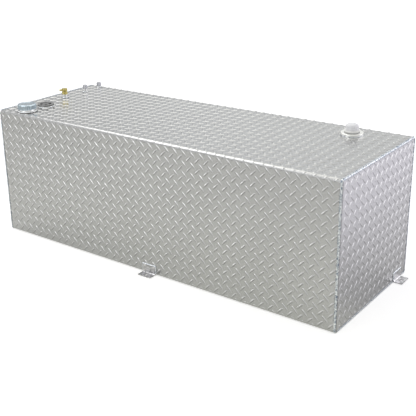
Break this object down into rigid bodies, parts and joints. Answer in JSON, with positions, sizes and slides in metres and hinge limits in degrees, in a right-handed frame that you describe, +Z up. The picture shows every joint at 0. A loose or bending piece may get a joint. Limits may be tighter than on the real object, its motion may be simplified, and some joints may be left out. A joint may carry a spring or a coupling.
{
  "type": "truck bed transfer tank",
  "caption": "Rectangular welded aluminium tread-plate liquid tank for a truck bed, with filler, vent, float gauge, plugged openings and hold-down angles.",
  "frame": {"origin": "centre of the tank's underside, on the surface that it stands on", "axes": "+X along the length towards the gauge end, +Y from the front with its hold-down angle to the back, +Z up"},
  "size_m": [1.4866, 0.5418, 0.5198],
  "materials": {
    "tread_sheet": "raised lozenge tread, mill bright",
    "weld_metal": "rippled weld bead",
    "turned_aluminium": "turned or drawn, satin",
    "zinc_plate": "blue zinc plate",
    "bright_steel": "bright",
    "brass": "machined",
    "black_plastic": "moulded",
    "rubber": "smooth",
    "white_plastic": "moulded",
    "clear_plastic": "clear, moulded ribs",
    "red_plastic": "moulded",
    "float_foam": "closed-cell foam"
  },
  "bodies": {
    "tank": {"tank_wrap": "tread_sheet", "end_plate_left": "tread_sheet", "end_plate_right": "tread_sheet", "end_weld_left": "weld_metal", "end_weld_right": "weld_metal", "front_tab_weld": "weld_metal", "left_tab_weld": "weld_metal", "right_tab_weld": "weld_metal", "baffle_left": "turned_aluminium", "baffle_right": "turned_aluminium", "front_tab": "turned_aluminium", "left_tab": "turned_aluminium", "right_tab": "turned_aluminium", "filler_neck": "turned_aluminium", "pump_bung": "turned_aluminium", "vent_bung": "turned_aluminium", "supply_bung": "turned_aluminium", "return_bung": "turned_aluminium", "gauge_bung": "turned_aluminium", "gauge_drop_tube": "turned_aluminium", "vent_spring": "bright_steel", "gauge_bracket": "bright_steel", "gauge_pivot_pin": "bright_steel", "vent_body": "brass", "vent_lid": "brass", "vent_outlet": "brass", "gauge_gasket": "rubber", "gauge_body": "white_plastic", "gauge_cup": "clear_plastic"},
    "filler_cap": {"filler_cap": "zinc_plate", "filler_cap_gasket": "rubber"},
    "pump_plug": {"pump_plug": "black_plastic", "pump_plug_gasket": "rubber"},
    "supply_plug": {"supply_plug": "bright_steel"},
    "return_plug": {"return_plug": "bright_steel"},
    "vent_poppet": {"vent_poppet": "bright_steel"},
    "float_arm": {"gauge_arm": "bright_steel", "gauge_float": "float_foam", "float_clip_inner": "bright_steel", "float_clip_outer": "bright_steel"},
    "indicator": {"gauge_rod": "bright_steel", "gauge_disc": "red_plastic"}
  },
  "joints": [
    {"name": "filler_cap_lift", "type": "slide", "parent": "tank", "child": "filler_cap", "axis": [0, 0, 1], "range_m": [0, 0.05]},
    {"name": "pump_plug_lift", "type": "slide", "parent": "tank", "child": "pump_plug", "axis": [0, 0, 1], "range_m": [0, 0.03]},
    {"name": "supply_plug_lift", "type": "slide", "parent": "tank", "child": "supply_plug", "axis": [0, 0, 1], "range_m": [0, 0.02]},
    {"name": "return_plug_lift", "type": "slide", "parent": "tank", "child": "return_plug", "axis": [0, 0, 1], "range_m": [0, 0.02]},
    {"name": "vent_poppet_lift", "type": "slide", "parent": "tank", "child": "vent_poppet", "axis": [0, 0, 1], "range_m": [0, 0.002], "stiffness_N_per_m": 200, "springref_m": -0.002, "deforming": ["vent_spring"]},
    {"name": "float_arm_swing", "type": "hinge", "parent": "tank", "child": "float_arm", "pos_m": [0.541, 0.164, 0.24], "axis": [0, 1, 0], "range_deg": [0, 90]},
    {"name": "indicator_rise", "type": "slide", "parent": "tank", "child": "indicator", "axis": [0, 0, 1], "range_m": [0, 0.0141]}
  ],
  "couplings": [
    {"joint": "indicator_rise", "follows": "float_arm_swing", "m_per_rad": 0.008913}
  ]
}
